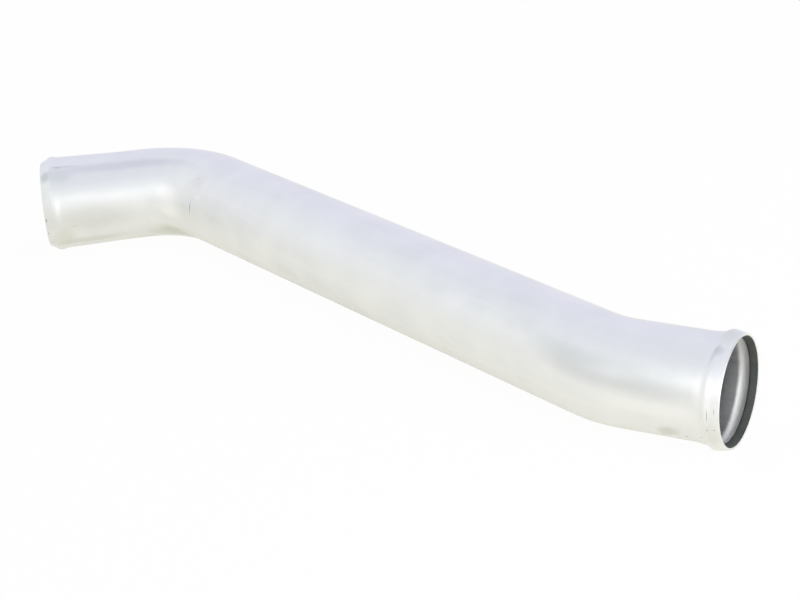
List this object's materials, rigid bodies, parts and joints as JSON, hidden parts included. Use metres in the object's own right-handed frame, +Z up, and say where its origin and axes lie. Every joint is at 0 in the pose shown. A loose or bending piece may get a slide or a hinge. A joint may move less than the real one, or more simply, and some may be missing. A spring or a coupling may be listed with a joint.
{
  "type": "intercooler pipe",
  "caption": "Thin-wall aluminium charge-air pipe with two opposite bends, a beaded hose spigot at one end and a cuffed mouth with a rubber seal at the other.",
  "frame": {"origin": "middle of the bounding box at its bottom, with the pipe lying at rest on its bead, its cuff and its first bend", "axes": "+X along the middle run towards the sealed mouth, +Z up from the surface that the pipe lies on"},
  "size_m": [0.9576, 0.2654, 0.1104],
  "materials": {
    "aluminium": "satin, as drawn and bent",
    "rubber": "matt black"
  },
  "bodies": {
    "root": {"pipe": "aluminium", "mouth_seal": "rubber"}
  },
  "joints": []
}
